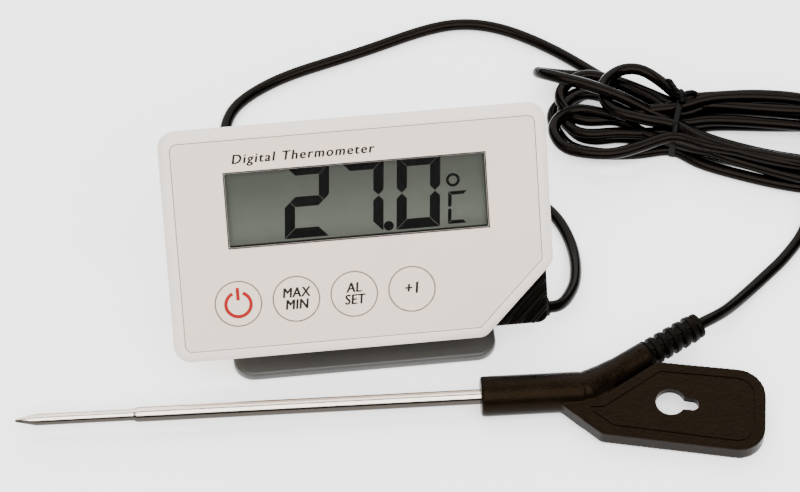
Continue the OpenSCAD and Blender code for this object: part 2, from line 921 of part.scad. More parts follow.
module cable_hank() {
    left_end = hank_tie_x - waist_flat;
    right_end = hank_l - hank_tie_x - waist_flat;
    stations = concat([for (i = [1:14]) left_end * (1 - cos(180 * i / 14)) / 2],
                      [for (i = [0:14]) hank_l - right_end * (1 + cos(180 * i / 15)) / 2]);
    last = len(stations) - 1;
    upper = [for (s = stations) [s, hank_half(s)]];
    lower = [for (i = [0:last]) [stations[last - i], -hank_half(stations[last - i])]];
    color("black") in_hank()
        linear_extrude(hank_h)
            polygon(concat([[0, 0]], upper, [[hank_l, 0]], lower));
}

// Twist tie: a band around the hank's waist, with its two ends twisted on top
module cable_tie() {
    half = waist_half + 0.4;
    color("black") in_hank() translate([hank_tie_x, 0, 0]) {
        difference() {
            translate([-tie_w / 2, -half - tie_t, 0])
                cube([tie_w, 2 * (half + tie_t), hank_h + 0.1 + tie_t]);
            translate([-tie_w, -half, -1])
                cube([2 * tie_w, 2 * half, hank_h + 1.1]);
        }
        translate([0, half - 1, hank_h + tie_t])
            sphere(r = 1.6, $fn = 24);
        for (turn = [-60, 40])
            translate([0, half - 1, hank_h + tie_t])
                rotate([0, 70, turn])
                    cylinder(r = 0.7, h = 7, $fn = 16);
    }
}

// ---------- output ----------

front_shell();
keypad_film();
display_window();
lcd_glass();
lcd_reflector();
lcd_bezel();
zebra_strips();
circuit_board();
tact_switches();
controller_chip();
quartz_crystal();
capacitors();
chip_resistors();
buzzer();
wire_terminal();
lead_wires();
rear_shell();
case_gasket();
case_screws();
battery();
battery_cradle();
plus_contact();
minus_spring();
corner_gland();
hinge_pins();
power_key();
max_min_key();
set_key();
step_key();
battery_door();
door_gasket();
door_screws();
stand_plate();
stand_magnets();
stand_pads();
probe_handle();
strain_relief();
probe_tube();
sensor_bead();
sensor_wires();
tip_filling();
crimp_sleeve();
handle_cable();
cable_gland_run();
cable_hank();
cable_probe_run();
cable_tie();
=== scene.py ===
import math

import bmesh
import bpy
from mathutils import Matrix, Vector


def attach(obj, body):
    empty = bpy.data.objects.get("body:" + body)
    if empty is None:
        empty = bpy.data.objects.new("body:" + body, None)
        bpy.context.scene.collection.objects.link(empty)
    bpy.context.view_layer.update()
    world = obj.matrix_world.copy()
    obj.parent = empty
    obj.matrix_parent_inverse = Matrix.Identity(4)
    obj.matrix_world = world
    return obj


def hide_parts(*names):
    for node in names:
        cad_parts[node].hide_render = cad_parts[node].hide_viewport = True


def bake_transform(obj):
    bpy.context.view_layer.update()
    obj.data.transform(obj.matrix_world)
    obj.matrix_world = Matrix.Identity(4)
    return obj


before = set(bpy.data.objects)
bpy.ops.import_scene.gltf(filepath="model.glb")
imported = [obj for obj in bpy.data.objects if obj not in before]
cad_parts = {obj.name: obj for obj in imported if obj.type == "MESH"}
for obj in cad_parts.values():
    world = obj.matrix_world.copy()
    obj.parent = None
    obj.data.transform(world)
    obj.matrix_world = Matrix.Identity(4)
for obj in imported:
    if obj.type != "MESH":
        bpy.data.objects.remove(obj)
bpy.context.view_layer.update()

MM = 0.001
rad = math.radians

# ---------- the object's own frames, in millimetres, as in the CAD source ----------
CASE_LEAN = 54
HINGE = (-5.6, 12.027, 5.33)
CASE_AT = (-5.6, 14.5, 40.156)
PROBE_AT, PROBE_TURN, PROBE_ROLL = (25, -20.1, 5.75), -2.6, 6.6
HANK_AT, HANK_TURN = (58.5, 87.6), -18


def placed(at, axis, angle):
    return Matrix.Translation(at) @ Matrix.Rotation(rad(angle), 4, axis)


CASE = placed(CASE_AT, "X", CASE_LEAN)
PROBE = placed(PROBE_AT, "Z", PROBE_TURN) @ Matrix.Rotation(rad(PROBE_ROLL), 4, "X")
HANK = placed((*HANK_AT, 0), "Z", HANK_TURN)
WORLD = Matrix.Identity(4)

# ---------- camera, in metres ----------
CAMERA_AT = (-0.06424, -0.62353, 0.82328)
camera = bpy.data.cameras.new("camera")
camera.lens = 162
camera.sensor_width = 36
camera.clip_start = 0.05
cam = bpy.data.objects.new("camera", camera)
bpy.context.scene.collection.objects.link(cam)
right = Vector((0.994, -0.1095, -0.0002)).normalized()
forward = Vector((0.0689, 0.627, -0.776)).normalized()
up = right.cross(forward).normalized()
right = forward.cross(up).normalized()
cam.matrix_world = Matrix((
    (right.x, up.x, -forward.x, CAMERA_AT[0]),
    (right.y, up.y, -forward.y, CAMERA_AT[1]),
    (right.z, up.z, -forward.z, CAMERA_AT[2]),
    (0, 0, 0, 1),
))
bpy.context.scene.camera = cam

# ---------- materials ----------
BUMP_DEPTH = 0.0002
# How pointed an edge is where wear begins and where it is full
EDGE_RANGE = (0.52, 0.62)
# Ranges of the upward part of a face's normal, each with its amounts: painted shade, a dark reflection
# painted on the probe's sides and underside, and the grain that is left on a moulding's polished sides
PAINTED_SHADE_BELOW = (0.59, 0.74, 0.09, 1.0)
POLISHED = (0.55, 0.95, 0.04)


def node_of(tree, kind, **values):
    n = tree.nodes.new(kind)
    for key, value in values.items():
        setattr(n, key, value)
    return n


def noise_of(t, place, scale, detail):
    n = node_of(t, "ShaderNodeTexNoise")
    n.inputs["Scale"].default_value = scale
    n.inputs["Detail"].default_value = detail
    t.links.new(place, n.inputs["Vector"])
    return n.outputs["Fac"]


def remap(t, value, from_min, from_max, to_min, to_max, **settings):
    """A value moved from one range to another."""
    n = node_of(t, "ShaderNodeMapRange", **settings)
    limits = {"From Min": from_min, "From Max": from_max, "To Min": to_min, "To Max": to_max}
    for key, limit in limits.items():
        n.inputs[key].default_value = limit
    t.links.new(value, n.inputs["Value"])
    return n.outputs["Result"]


def drifting(t, place, color, vary, patch):
    """A colour that wanders between a darker and a lighter tone in soft patches."""
    ramp = node_of(t, "ShaderNodeValToRGB")
    dark = [max(0.0, c * (1 - vary)) for c in color]
    light = [min(1.0, c * (1 + vary)) for c in color]
    ramp.color_ramp.elements[0].color = (*dark, 1)
    ramp.color_ramp.elements[0].position = 0.3
    ramp.color_ramp.elements[1].color = (*light, 1)
    ramp.color_ramp.elements[1].position = 0.7
    t.links.new(noise_of(t, place, 1000 / patch, 4), ramp.inputs["Fac"])
    return ramp.outputs["Color"]


def worn(t, tint, wear, wear_color):
    """The colour with another one mixed in along the edges."""
    pointed = node_of(t, "ShaderNodeNewGeometry").outputs["Pointiness"]
    mixed = node_of(t, "ShaderNodeMix", data_type="RGBA")
    mixed.inputs["B"].default_value = (*wear_color, 1)
    t.links.new(remap(t, pointed, *EDGE_RANGE, 0, wear), mixed.inputs["Factor"])
    t.links.new(tint, mixed.inputs["A"])
    return mixed.outputs["Result"]


def shaded_by_z(t, tint, vector, limits):
    """Painted shade: the colour made darker or lighter, slowly, by the Z part of a vector."""
    split = node_of(t, "ShaderNodeSeparateXYZ")
    t.links.new(vector, split.inputs["Vector"])
    times = node_of(t, "ShaderNodeVectorMath", operation="SCALE")
    t.links.new(tint, times.inputs[0])
    tone = remap(t, split.outputs["Z"], *limits, interpolation_type="SMOOTHSTEP")
    t.links.new(tone, times.inputs["Scale"])
    return times.outputs["Vector"]


def grained(t, place, grain, grain_size, upward):
    """A fine bump; with upward it fades out on the moulding's polished sides."""
    bump = node_of(t, "ShaderNodeBump")
    bump.inputs["Strength"].default_value = grain
    bump.inputs["Distance"].default_value = BUMP_DEPTH
    t.links.new(noise_of(t, place, 1000 / grain_size, 2), bump.inputs["Height"])
    if upward:
        facing = node_of(t, "ShaderNodeSeparateXYZ")
        t.links.new(node_of(t, "ShaderNodeNewGeometry").outputs["True Normal"], facing.inputs["Vector"])
        t.links.new(remap(t, facing.outputs["Z"], *POLISHED, grain), bump.inputs["Strength"])
    return bump.outputs["Normal"]


def material(name, color, rough, grain=0.0, grain_size=0.3, vary=0.05, patch=8.0, rough_vary=0.06,
             metallic=0.0, wear=0.0, wear_color=None, coat=0.0, alpha=1.0, specular=0.5,
             stretch=(1, 1, 1), height_shade=None, shade_below=False, glint=(1, 1, 1), upward=False):
    """A moulded or metal surface: drifting colour, uneven gloss, grain in the bump, worn edges.

    patch and grain_size are in millimetres. height_shade is a range of heights in metres with its tones:
    painted shade by height. shade_below paints shade on every face that doesn't look up, darkening it.
    """
    m = bpy.data.materials.new(name)
    m.use_nodes = True
    t = m.node_tree
    shader = t.nodes["Principled BSDF"]
    settings = {
        "Metallic": metallic, "Coat Weight": coat, "Coat Roughness": 0.15,
        "Specular IOR Level": specular, "Alpha": alpha, "Specular Tint": (*glint, 1),
    }
    for key, value in settings.items():
        shader.inputs[key].default_value = value
    where = node_of(t, "ShaderNodeTexCoord").outputs["Object"]
    mapping = node_of(t, "ShaderNodeMapping")
    mapping.inputs["Scale"].default_value = stretch
    t.links.new(where, mapping.inputs["Vector"])
    place = mapping.outputs["Vector"]
    tint = drifting(t, place, color, vary, patch)
    if wear:
        tint = worn(t, tint, wear, wear_color or [min(1, c * 1.6 + 0.05) for c in color])
    # painted shade: the colour made darker or lighter by height
    if height_shade:
        tint = shaded_by_z(t, tint, where, height_shade)
    # painted shade: faces that don't look up are darkened, a dark reflection painted on the probe
    if shade_below:
        tint = shaded_by_z(t, tint, node_of(t, "ShaderNodeNewGeometry").outputs["Normal"], PAINTED_SHADE_BELOW)
    t.links.new(tint, shader.inputs["Base Color"])
    smudges = noise_of(t, place, 3200 / patch, 3)
    gloss = remap(t, smudges, 0, 1, max(0.02, rough - rough_vary), min(1.0, rough + rough_vary))
    t.links.new(gloss, shader.inputs["Roughness"])
    if grain:
        t.links.new(grained(t, place, grain, grain_size, upward), shader.inputs["Normal"])
    return m


M = {
    "case": material("case_plastic", (0.80, 0.69, 0.62), 0.38, grain=0.12, grain_size=0.35, vary=0.015,
                     patch=30, wear=0.15, wear_color=(0.9, 0.88, 0.86)),
    "film": material("keypad_film", (0.76, 0.63, 0.525), 0.55, grain=0.25, grain_size=0.22, vary=0.02,
                     patch=20, specular=0.3),
    "clear": material("clear_window", (0.02, 0.024, 0.022), 0.06, vary=0.01, patch=40, rough_vary=0.02,
                      alpha=0.03, specular=0.3),
    # the LCD's colour carries painted shade: darker at the top, under the bezel, and lighter towards the
    # bottom
    "lcd": material("lcd_cell", (0.060, 0.065, 0.052), 0.35, grain=0.06, grain_size=0.12, vary=0.03, patch=3,
                    rough_vary=0.05, specular=0.2, height_shade=(0.0545, 0.0375, 0.72, 1.3)),
    "ink": material("print_gray", (0.016, 0.014, 0.014), 0.6, grain=0.1, grain_size=0.15, vary=0.08,
                    patch=1.5, specular=0.2),
    "segment": material("lcd_segment", (0.0015, 0.0016, 0.0014), 0.4, vary=0.2, patch=2, rough_vary=0.05,
                        specular=0.05),
    "red_ink": material("print_red", (0.30, 0.0002, 0.0004), 0.5, grain=0.1, grain_size=0.15, vary=0.06,
                        patch=1.5, specular=0.2),
    "white": material("inner_white", (0.82, 0.82, 0.80), 0.45, grain=0.1, vary=0.02, patch=6),
    "frame": material("bezel_gray", (0.052, 0.056, 0.046), 0.5, grain=0.1, vary=0.05, patch=6, specular=0.2),
    "seal": material("seal_rubber", (0.055, 0.058, 0.06), 0.7, grain=0.3, grain_size=0.2, vary=0.1, patch=4),
    "board": material("board_mask", (0.02, 0.13, 0.05), 0.35, grain=0.15, grain_size=0.5, vary=0.15,
                      patch=3, coat=0.3),
    "metal": material("plated_metal", (0.66, 0.66, 0.65), 0.28, grain=0.08, grain_size=0.2, vary=0.06,
                      patch=3, metallic=1.0),
    "brown": material("brown_component", (0.16, 0.08, 0.04), 0.3, grain=0.08, vary=0.1, patch=1.5),
    "brass": material("brass", (0.72, 0.53, 0.25), 0.3, grain=0.1, grain_size=0.2, vary=0.08, patch=2,
                      metallic=1.0),
    "wire": material("wire_insulation", (0.42, 0.03, 0.02), 0.4, grain=0.06, vary=0.06, patch=2),
    "screw": material("zinc_screw", (0.55, 0.55, 0.53), 0.32, grain=0.12, grain_size=0.15, vary=0.1, patch=1,
                      metallic=1.0, wear=0.4),
    "cell": material("cell_sleeve", (0.10, 0.16, 0.22), 0.3, grain=0.06, vary=0.15, patch=10, metallic=0.4),
    "black": material("black_plastic", (0.0018, 0.0011, 0.0007), 0.32, grain=1.0, grain_size=0.9, vary=0.4,
                      patch=4, upward=True, rough_vary=0.12, wear=0.12, wear_color=(0.012, 0.008, 0.005),
                      specular=0.07, glint=(1, 0.64, 0.36)),
    "rubber": material("black_rubber", (0.0012, 0.0010, 0.0008), 0.4, grain=0.3, grain_size=0.3, vary=0.2,
                       patch=3, rough_vary=0.1, specular=0.05, glint=(1, 0.8, 0.65)),
    "stand": material("stand_plastic", (0.040, 0.039, 0.036), 0.36, grain=0.2, grain_size=0.4, vary=0.05,
                      patch=12, wear=0.5, wear_color=(0.15, 0.145, 0.135), specular=0.3),
    # the probe's steel carries painted shade: its sides and underside are darkened in place of a dark
    # reflection
    "steel": material("probe_steel", (0.64, 0.56, 0.49), 0.14, grain=0.06, grain_size=0.12, vary=0.03,
                      patch=6, metallic=1.0, rough_vary=0.04, stretch=(0.05, 1, 1), shade_below=True),
    "cable": material("cable_sheath", (0.0008, 0.0006, 0.0005), 0.16, grain=0.16, grain_size=0.6, vary=0.2,
                      patch=9, rough_vary=0.08, specular=0.07, glint=(1, 0.82, 0.68)),
    "tie": material("tie_plastic", (0.0008, 0.0007, 0.0006), 0.35, grain=0.2, grain_size=0.3, vary=0.2,
                    patch=2, specular=0.06),
}


# ---------- mesh helpers ----------
def make(name, verts, faces, paint, body, place=WORLD, slot=None, angle=32, replaces=()):
    """A piece from verts and faces in millimetres, in the frame that place gives."""
    data = bpy.data.meshes.new(name)
    data.from_pydata([(place @ Vector(v)) * MM for v in verts], [], faces)
    data.validate()
    return dress(data, name, paint, body, angle, replaces)


def dress(data, name, paint, body, angle=32, replaces=()):
    """Gives a mesh its finish and sharp edges, ties it to its body and hides the nodes it replaces."""
    bm = bmesh.new()
    bm.from_mesh(data)
    bmesh.ops.remove_doubles(bm, verts=bm.verts, dist=1e-7)
    bmesh.ops.recalc_face_normals(bm, faces=bm.faces)
    bm.to_mesh(data)
    bm.free()
    data.materials.clear()
    data.materials.append(M[paint])
    data.shade_smooth()
    data.set_sharp_from_angle(angle=rad(angle))
    ob = bpy.data.objects.new(name, data)
    bpy.context.scene.collection.objects.link(ob)
    if body:
        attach(ob, body)
    if replaces:
        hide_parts(*replaces)
    return ob


def loft(rings, closed=False, caps=True):
    """Verts and faces of a skin through rings with equal numbers of points."""
    n = len(rings[0])
    verts = [p for r in rings for p in r]
    faces = []
    for i in range(len(rings) if closed else len(rings) - 1):
        a, b = i * n, ((i + 1) % len(rings)) * n
        faces += [(a + k, a + (k + 1) % n, b + (k + 1) % n, b + k) for k in range(n)]
    if caps and not closed:
        faces.append(tuple(range(n))[::-1])
        faces.append(tuple(range((len(rings) - 1) * n, len(rings) * n)))
    return verts, faces


def around(steps):
    """The angles of evenly spaced points on a circle."""
    return [2 * math.pi * k / steps for k in range(steps)]


def lathe(profile, steps=40, closed=False):
    """A turned solid: profile is (x, radius) along +X, from one end to the other."""
    rings = [[(x, r * math.cos(a), r * math.sin(a)) for a in around(steps)] for x, r in profile]
    return loft(rings, closed)


def join(*parts):
    verts, faces = [], []
    for v, f in parts:
        faces += [tuple(i + len(verts) for i in face) for face in f]
        verts += v
    return verts, faces


def moved(part, place):
    return [tuple(place @ Vector(v)) for v in part[0]], part[1]


def corner_arc(before, at, after, r, steps):
    """Points along the arc that rounds one corner of an outline."""
    at = Vector(at)
    back, ahead = (Vector(before) - at).normalized(), (Vector(after) - at).normalized()
    half = math.acos(max(-1, min(1, back.dot(ahead)))) / 2
    centre = at + (back + ahead).normalized() * r / math.sin(half)
    first = at + back * r / math.tan(half) - centre
    last = at + ahead * r / math.tan(half) - centre
    turn = math.atan2(first.x * last.y - first.y * last.x, first.dot(last))
    start = math.atan2(first.y, first.x)
    angles = [start + turn * i / steps for i in range(steps + 1)]
    return [(centre.x + r * math.cos(a), centre.y + r * math.sin(a)) for a in angles]


def rounded(points, radii, steps=8):
    corners = zip([points[-1], *points[:-1]], points, [*points[1:], points[0]], radii)
    return [p for before, at, after, r in corners for p in corner_arc(before, at, after, r, steps)]


def rect(w, h, at=(0, 0)):
    x, y = at
    return [(x - w / 2, y - h / 2), (x + w / 2, y - h / 2), (x + w / 2, y + h / 2), (x - w / 2, y + h / 2)]


def mesh_of(curve, place):
    """Verts and faces of a curve, each vertex put through place. The curve itself is removed."""
    ob = bpy.data.objects.new(curve.name, curve)
    bpy.context.scene.collection.objects.link(ob)
    got = bpy.data.meshes.new_from_object(ob.evaluated_get(bpy.context.evaluated_depsgraph_get()))
    verts = [place(v.co) for v in got.vertices]
    faces = [tuple(p.vertices) for p in got.polygons]
    bpy.data.objects.remove(ob)
    bpy.data.curves.remove(curve)
    bpy.data.meshes.remove(got)
    return verts, faces


def sheet_of(outline, holes, top, bottom):
    """Verts and faces of a flat plate with holes, from curve filling."""
    curve = bpy.data.curves.new("plate", "CURVE")
    curve.dimensions = "2D"
    curve.fill_mode = "BOTH"
    for line in [outline, *holes]:
        s = curve.splines.new("POLY")
        s.points.add(len(line) - 1)
        for p, (x, y) in zip(s.points, line):
            p.co = (x, y, 0, 1)
        s.use_cyclic_u = True
    curve.extrude = (top - bottom) / 2
    return mesh_of(curve, lambda p: (p.x, p.y, p.z + (top + bottom) / 2))


def circle(r, at=(0, 0), steps=48):
    return [(at[0] + r * math.cos(a), at[1] + r * math.sin(a)) for a in around(steps)]


PRINT_T = 0.02


def lettering(words, size, at, z, align="CENTER", shear=0.0, spacing=1.0, wide=1.0):
    """Verts and faces of flat printed words."""
    curve = bpy.data.curves.new("words", "FONT")
    curve.body = words
    curve.size = size
    curve.shear = shear
    curve.align_x = align
    curve.space_character = spacing
    curve.extrude = PRINT_T / 2
    curve.resolution_u = 3
    return mesh_of(curve, lambda p: (p.x * wide + at[0], p.y + at[1], p.z + z))


def smooth_path(points, step):
    """A Catmull-Rom curve through the points, resampled at an even step."""
    pts = [Vector(p) for p in points]
    pts = [pts[0] * 2 - pts[1], *pts, pts[-1] * 2 - pts[-2]]
    dense = []
    for i in range(1, len(pts) - 2):
        a, b, c, d = pts[i - 1:i + 3]
        for k in range(16):
            t = k / 16
            dense.append(0.5 * ((2 * b) + (c - a) * t + (2 * a - 5 * b + 4 * c - d) * t * t
                                + (3 * b - a - 3 * c + d) * t ** 3))
    dense.append(pts[-2])
    total = sum((q - p).length for p, q in zip(dense, dense[1:]))
    count = max(2, round(total / step))
    gap = total / count
    out, run, want = [dense[0]], 0.0, gap
    for p, q in zip(dense, dense[1:]):
        length = (q - p).length
        while run + length >= want and len(out) < count:
            out.append(p.lerp(q, (want - run) / length))
            want += gap
        run += length
    out.append(dense[-1])
    return out


def relax(path, rounds, weight=0.5):
    """Evens out a path's bends, leaving its ends where they are."""
    for _ in range(rounds):
        inner = [p.lerp((a + b) / 2, weight) for a, p, b in zip(path, path[1:-1], path[2:])]
        path = [path[0], *inner, path[-1]]
    return path


def tube(path, r, sides=12):
    """Verts and faces of a round tube along a path, with closed ends.

    r is a number or a function of the index.
    """
    n = len(path)
    heads = [(path[min(i + 1, n - 1)] - path[max(i - 1, 0)]).normalized() for i in range(n)]
    side = heads[0].cross(Vector((0, 0, 1)))
    side = side.normalized() if side.length > 0.1 else Vector((1, 0, 0))
    rings = []
    for i in range(n):
        side = (side - heads[i] * side.dot(heads[i])).normalized()
        top = side.cross(heads[i])
        radius = r(i) if callable(r) else r
        rings.append([tuple(path[i] + radius * (math.cos(a) * side + math.sin(a) * top))
                      for a in around(sides)])
    return loft(rings)


def prism(points, z0, z1):
    return loft([[(x, y, z0) for x, y in points], [(x, y, z1) for x, y in points]])


def bar(points, stations):
    """A bar along X: an outline in Y and Z, scaled at each (x, scale)."""
    return loft([[(x, y * s, z * s) for y, z in points] for x, s in stations])


def post_at(spot, profile, caps=True):
    """A turned post that stands at a spot; profile is (radius, z)."""
    return loft([[(x, y, z) for x, y in circle(r, spot, 32)] for r, z in profile], caps=caps)


def blob(name, parts, cuts, voxel, rounds):
    """One moulded solid from overlapping ones: remeshed and softened if voxel is given, then cut."""
    verts, faces = join(*parts)
    data = bpy.data.meshes.new(name)
    data.from_pydata(verts, [], faces)
    ob = bpy.data.objects.new(name, data)
    bpy.context.scene.collection.objects.link(ob)
    if voxel:
        fine = ob.modifiers.new("fine", "REMESH")
        fine.mode = "VOXEL"
        fine.voxel_size = voxel
        soft = ob.modifiers.new("soft", "SMOOTH")
        soft.factor = 0.5
        soft.iterations = rounds
    cutters = []
    for i, (v, f) in enumerate(cuts):
        d = bpy.data.meshes.new("cut")
        d.from_pydata(v, [], f)
        c = bpy.data.objects.new("cut", d)
        bpy.context.scene.collection.objects.link(c)
        m = ob.modifiers.new(f"cut{i}", "BOOLEAN")
        m.operation = "DIFFERENCE"
        m.solver = "EXACT"
        m.object = c
        cutters.append(c)
    bpy.context.view_layer.update()
    got = bpy.data.meshes.new_from_object(ob.evaluated_get(bpy.context.evaluated_depsgraph_get()))
    for o in [ob, *cutters]:
        bpy.data.objects.remove(o)
    return got


# ---------- the cable ----------
CABLE_D = 3.6
# Heights of the cable's centre on the table and in the hank's two upper layers
LOW, MIDDLE, HIGH = 1.85, 5.45, 9.05
GLAND_ROUTE = [
    (46.8, 5.7, 11.1), (48.6, 5.7, 10.7), (50.4, 6.3, 9.9), (52.6, 8.6, 8.6), (55, 12.6, 7.3),
    (56.9, 16.6, 6.1), (58.1, 21.5, 4.8), (58.8, 26.7, 3.5), (59, 32.1, 2.4), (58.4, 37.6, 1.9),
    (56.8, 43.6, LOW), (54, 49.1, LOW), (49.5, 53.9, LOW), (43.5, 57.6, LOW), (36.5, 60.1, LOW),
    (29, 61.6, LOW), (21, 62.4, LOW), (13, 62.9, LOW), (5, 63.1, LOW), (-3, 63.3, LOW),
    (-11, 63.9, LOW), (-19, 65.3, LOW), (-26.5, 68.3, LOW), (-33, 73.1, LOW), (-37.2, 79.6, LOW),
    (-39, 86.6, LOW), (-38.4, 92.9, LOW), (-35.6, 98.9, LOW), (-30.2, 104, LOW), (-22.2, 108.7, LOW),
    (-14.2, 111.9, LOW), (-6.4, 114.3, LOW), (1.6, 116.7, LOW), (9.6, 119.3, LOW), (17.6, 122.1, LOW),
    (25.7, 124.6, LOW), (33.6, 126, LOW), (41.3, 125.4, LOW), (48.8, 122.8, LOW), (56, 118.5, LOW),
    (63, 113.1, LOW), (69, 107.6, LOW),
]
PROBE_ROUTE = [
    (131.4, 39.2, 4.2), (127.6, 32.2, 2.0), (120.1, 23.2, LOW), (114.2, 17.8, LOW), (108, 12.2, 2.1),
    (101.2, 5.4, 4.1), (97.8, 2.1, 5.7), (94.4, -0.7, 7.3), (90.7, -2.8, 8), (88.6, -3.9, 7.95),
]
TIE_X = 40
# Each turn: the lane it takes at the tie going right; (end, centre, half-width, height) of its right fold;
# its lane going left; the same four of its left fold; its heights at the tie both ways; and how closely
# its strands draw together beside the tie, from 0 to 1
TURNS = [
    (7.3, (96.2, 0, 14.2, LOW), -7.3, (1.8, -0.5, 12.9, LOW), LOW, LOW, 0),
    (3.65, (92.4, 0, 10.4, LOW), -3.65, (5.6, -0.4, 9.4, (LOW + MIDDLE) / 2), LOW, LOW, 0.4),
    (0, (94.5, -3.2, 10.6, MIDDLE), -3.65, (4.8, -1.6, 8.2, MIDDLE), LOW, MIDDLE, 0.4),
    (0, (93.6, -2.0, 8.6, MIDDLE + 0.6), -7.3, (3.0, 4.5, 9.2, MIDDLE + 0.4), MIDDLE, MIDDLE, 0.3),
    (3.65, (95.5, 3.0, 10.8, MIDDLE + 1.4), 0, (-4, 9, 8, MIDDLE), MIDDLE, MIDDLE, 0),
    (7.3, (93.2, -1.0, 10.2, HIGH + 0.8), -7.3, (3.6, -10.2, 8.4, 7.4), MIDDLE, HIGH - 1, 0.1),
    (3.65, (96.4, 1.0, 12.6, HIGH), -3.65, (15.5, 5.2, 9.6, 10.7), HIGH, HIGH, 0),
]
# Where the hank begins and ends, and three left folds that are given one by one: the first comes back inside
# the cable that enters the hank, one springs up and points out at the corner, and the last one arches
HANK_START = [(16.6, 15.6, LOW), (23, 13.2, LOW), (31.5, 10.0, LOW)]
HANK_END = [
    (TIE_X, 7.3, HIGH), (49, 9.6, HIGH), (62, 13, 9.1), (76, 14.2, 9.2), (88, 11.6, 9.6),
    (94.4, 4.6, 10.4), (96.4, -4.5, 10.6), (95.0, -13.5, 9.6), (91.4, -21.5, 7.2),
]
FIRST_TURN, FINGER_TURN, ARCH_TURN = 0, 4, 6
FIRST_RETURN = [(8.3, 9.8, LOW), (14.5, 10.6, LOW), (22, 9.2, LOW), (31, 6.2, LOW)]
FINGER = [
    (31, 0.6, 8.6), (22, 1.2, 12.4), (12, 1.9, 14.6), (3.5, 2.8, 14.8), (-2.2, 4.9, 13.2), (-4.6, 8.8, 9.0),
    (-2.6, 12.6, 4.8), (3.5, 14.2, 3.4), (11, 14.2, 4.4), (19, 13.2, 5.6), (29, 10.4, 5.6),
]
ARCH_RETURN = [(29.5, 14.2, 9.6), (35, 11.0, 9.2)]


def fold(end, side, centre, half, z, first, last, pinch):
    """The points around one end of a turn; side is +1 at the right end and -1 at the left end."""
    (q0, z0), (q1, z1) = first, last
    reach = side * half
    by_tie = TIE_X + side * 9
    midway = TIE_X + side * (abs(end - TIE_X) * 0.47)
    shoulder, bend = end - reach * 1.15, end - reach * 0.5
    near, far = 0.45 + 0.45 * pinch, 0.55 - 0.45 * pinch
    wide = 0.96 - 0.75 * pinch
    return [
        (by_tie, near * q0 + far * (centre + reach), z0 * 0.7 + z * 0.3),
        (midway, centre + reach * wide, z0 * 0.3 + z * 0.7),
        (shoulder, centre + reach, z),
        (bend, centre + reach * 0.87, z),
        (end, centre, z),
        (bend, centre - reach * 0.87, z),
        (shoulder, centre - reach, z),
        (midway, centre - reach * wide, z1 * 0.3 + z * 0.7),
        (by_tie, near * q1 + far * (centre - reach), z1 * 0.7 + z * 0.3),
    ]


def hank_path():
    """The hank's turns, clockwise from above, as points in the hank's own frame."""
    points = [*HANK_START]
    for i, (go, right_fold, back, left_fold, z_go, z_back, pinch) in enumerate(TURNS):
        points.append((TIE_X, go, z_go))
        points += fold(right_fold[0], 1, *right_fold[1:], (go, z_go), (back, z_back), pinch * 0.5)
        points.append((TIE_X, back, z_back))
        ahead = (TURNS[i + 1][0], TURNS[i + 1][4]) if i + 1 < len(TURNS) else HANK_END[0][1:]
        turn = fold(left_fold[0], -1, *left_fold[1:], (back, z_back), ahead, pinch)
        if i == FIRST_TURN:
            turn[5:] = FIRST_RETURN
        if i == FINGER_TURN:
            turn = FINGER
        if i == ARCH_TURN:
            turn[7:] = ARCH_RETURN
        points += turn
    return points + HANK_END


route = [Vector(p) for p in GLAND_ROUTE]
route += [HANK @ Vector(p) for p in hank_path()]
route += [Vector(p) for p in PROBE_ROUTE]
route = relax(smooth_path(route, 1.6), 4)
verts, faces = tube(route, CABLE_D / 2, 12)
cable = make("cable", verts, faces, "cable", None, angle=60)
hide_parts("cable_gland_run", "cable_hank", "cable_probe_run")
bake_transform(cable)


# ---------- case ----------
W, H, CUT, WALL, RIM = 109, 67, 20.5, 2, 3.2
BEVEL_W, BEVEL_D, FRONT_D, CASE_D, BACK_R = 2.2, 1.8, 9, 19.5, 2.5
STRAIGHT_D, TAPER = 3, 0.2424


def taper(z):
    """How far the case's side has drawn in at a depth."""
    return max(0.0, z - STRAIGHT_D) * TAPER


def case_corners(side, cut):
    """The case's outline with one corner cut off, inset by side, and by cut along that corner."""
    x, y = W / 2 - side, H / 2 - side
    reach = CUT + cut * math.sqrt(2) - side
    return [(-x, y), (-x, -y), (W / 2 - reach, -y), (x, reach - H / 2), (x, y)]


def case_outline(side, cut, r=5, steps=10):
    a, b = max(1, r - side), max(1, min(4, r) - side)
    return rounded(case_corners(side, cut), [a, a, b, b, a], steps)


def case_ring(side, cut, z, r=5):
    return [(x, y, -z) for x, y in case_outline(side, cut, r)]


rings = [case_ring(taper(FRONT_D) + 0.15, 0.15, FRONT_D), case_ring(taper(FRONT_D - 0.15), 0, FRONT_D - 0.15),
         case_ring(0, 0, STRAIGHT_D), case_ring(0, 0, 2.4)]
for i in range(13):
    a = rad(90 - 7.5 * i)
    d = BEVEL_W * (1 - math.sin(a))
    rings.append(case_ring(d, d, BEVEL_D * (1 - math.cos(a))))
FILM_R = 2.2 + RIM
rings += [case_ring(RIM - 0.25, RIM - 0.25, 0, FILM_R), case_ring(RIM - 0.1, RIM - 0.1, 0.04, FILM_R),
          case_ring(RIM, RIM, 0.16, FILM_R), case_ring(RIM, RIM, 0.55, FILM_R),
          case_ring(WALL, WALL, 0.6), case_ring(WALL, WALL, 3),
          case_ring(WALL + taper(FRONT_D), WALL, FRONT_D)]
front = loft(rings, closed=True)
WINDOW_W, WINDOW_H, WINDOW_AT = 73.2, 21.4, (0, 9.9)
KEYS = ("power_key", "max_min_key", "set_key", "step_key")
KEY_AT = [(-35.4 + 16.4 * i, -17.1) for i in range(len(KEYS))]
SCREWS = [(-44, 23.5), (44, 23.5), (-44, -22), (28, -22)]
FRONT_BOSS = [(2.9, -2.2), (3, -2.4), (3, -8.9), (2.9, -9), (0.95, -9), (0.9, -8.9), (0.9, -3.3),
              (0.05, -3.2)]


